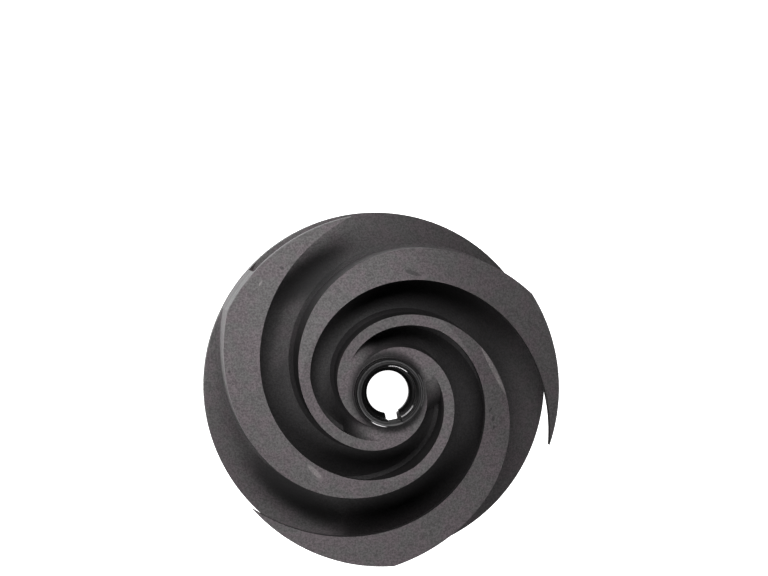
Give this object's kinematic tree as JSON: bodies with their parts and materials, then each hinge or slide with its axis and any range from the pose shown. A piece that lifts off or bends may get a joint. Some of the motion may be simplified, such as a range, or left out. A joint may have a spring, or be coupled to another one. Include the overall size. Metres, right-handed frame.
{
  "type": "pump impeller",
  "caption": "Semi-open mixed-flow pump impeller in cast iron: spiral vanes with overhanging lands on a conical back shroud, keyed bore and raised hub ring.",
  "frame": {"origin": "on the bore axis, in the plane of the shroud rim's back face, on which the impeller rests", "axes": "+Z along the bore axis towards the suction side; the keyway lies 11 degrees from -Y towards +X, and the vanes lead outwards clockwise seen from +Z"},
  "size_m": [0.2, 0.2, 0.0669],
  "materials": {
    "iron": "as-cast, with turned vane lands, outer edge, hub ring and bore"
  },
  "bodies": {
    "root": {"impeller": "iron"}
  },
  "joints": []
}
